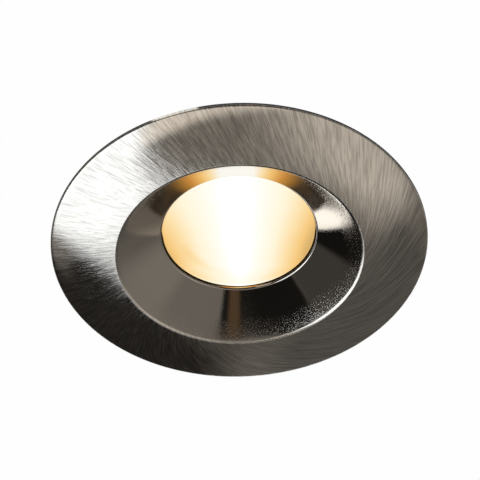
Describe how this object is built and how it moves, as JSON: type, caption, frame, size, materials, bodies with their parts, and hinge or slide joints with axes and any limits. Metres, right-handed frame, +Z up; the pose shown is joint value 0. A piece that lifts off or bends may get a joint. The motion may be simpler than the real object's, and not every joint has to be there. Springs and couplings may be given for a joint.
{
  "type": "soffit downlight",
  "caption": "Round recessed soffit downlight: brushed domed bezel, polished cone recess, frosted lens, finned can, sprung clips and a rear driver box with a hinged lid.",
  "frame": {"origin": "centre of the can's collar, in the plane of the ceiling board's lower face", "axes": "+Z goes up into the soffit, the light shines towards -Z, the clips are at -X and +X and the cable enters from +X"},
  "size_m": [0.0914, 0.085, 0.064],
  "materials": {
    "nickel": "brushed satin nickel on the dome, polished in the cone",
    "cast_aluminium": "die-cast, fine satin",
    "zinc_steel": "bright zinc plate",
    "bright_steel": "polished",
    "spring_steel": "drawn wire",
    "reflector_metal": "bright anodised",
    "brass": "turned",
    "copper_winding": "taped winding on a ferrite core",
    "frosted_lens": "frosted",
    "board_ceramic": "matt",
    "phosphor": "soft silicone",
    "pale_silicone": "matt",
    "black_rubber": "matt",
    "black_plastic": "fine moulded texture",
    "white_plastic": "moulded",
    "green_board": "lacquered board",
    "capacitor_sleeve": "shrink sleeve",
    "red_wire": "insulated wire"
  },
  "bodies": {
    "can": {"bezel_seal": "black_rubber", "ceiling_gasket": "black_rubber", "can": "cast_aluminium", "lens": "frosted_lens", "lens_seal": "pale_silicone", "lens_ring": "black_plastic", "reflector": "reflector_metal", "led_holder": "white_plastic", "led_board": "board_ceramic", "led_spot": "phosphor", "thermal_pad": "pale_silicone", "holder_screws": "zinc_steel", "led_wires": "red_wire", "clip_bracket_left": "zinc_steel", "clip_bracket_right": "zinc_steel", "bracket_screws": "zinc_steel", "clip_pin_left": "bright_steel", "clip_pin_right": "bright_steel", "clip_spring_left": "spring_steel", "clip_spring_right": "spring_steel", "driver_case": "black_plastic", "case_screws": "zinc_steel", "driver_board": "green_board", "transformer": "copper_winding", "capacitors": "capacitor_sleeve", "cover_seal": "pale_silicone", "rear_cover": "black_plastic", "cover_screws": "zinc_steel", "terminal_block": "white_plastic", "terminal_screws": "brass", "cable_grommet": "black_rubber", "cord_grip": "white_plastic", "cord_grip_screws": "zinc_steel", "lid_hinge_pin": "bright_steel"},
    "bezel": {"bezel": "nickel"},
    "clip_left": {"clip_arm_left": "zinc_steel", "clip_foot_left": "black_rubber"},
    "clip_right": {"clip_arm_right": "zinc_steel", "clip_foot_right": "black_rubber"},
    "lid": {"terminal_lid": "black_plastic"}
  },
  "joints": [
    {"name": "bezel_twist", "type": "hinge", "parent": "can", "child": "bezel", "pos_m": [0, 0, 0], "axis": [0, 0, 1], "range_deg": [0, 26]},
    {"name": "clip_left_fold", "type": "hinge", "parent": "can", "child": "clip_left", "pos_m": [-0.0288, 0, 0.015], "axis": [0, 1, 0], "range_deg": [0, 120], "stiffness_Nm_per_rad": 0.05, "springref_deg": -114.59, "deforming": ["clip_spring_left"]},
    {"name": "clip_right_fold", "type": "hinge", "parent": "can", "child": "clip_right", "pos_m": [0.0288, 0, 0.015], "axis": [0, -1, 0], "range_deg": [0, 120], "stiffness_Nm_per_rad": 0.05, "springref_deg": -114.59, "deforming": ["clip_spring_right"]},
    {"name": "lid_swing", "type": "hinge", "parent": "can", "child": "lid", "pos_m": [0, -0.017, 0.0582], "axis": [1, 0, 0], "range_deg": [0, 105]}
  ]
}
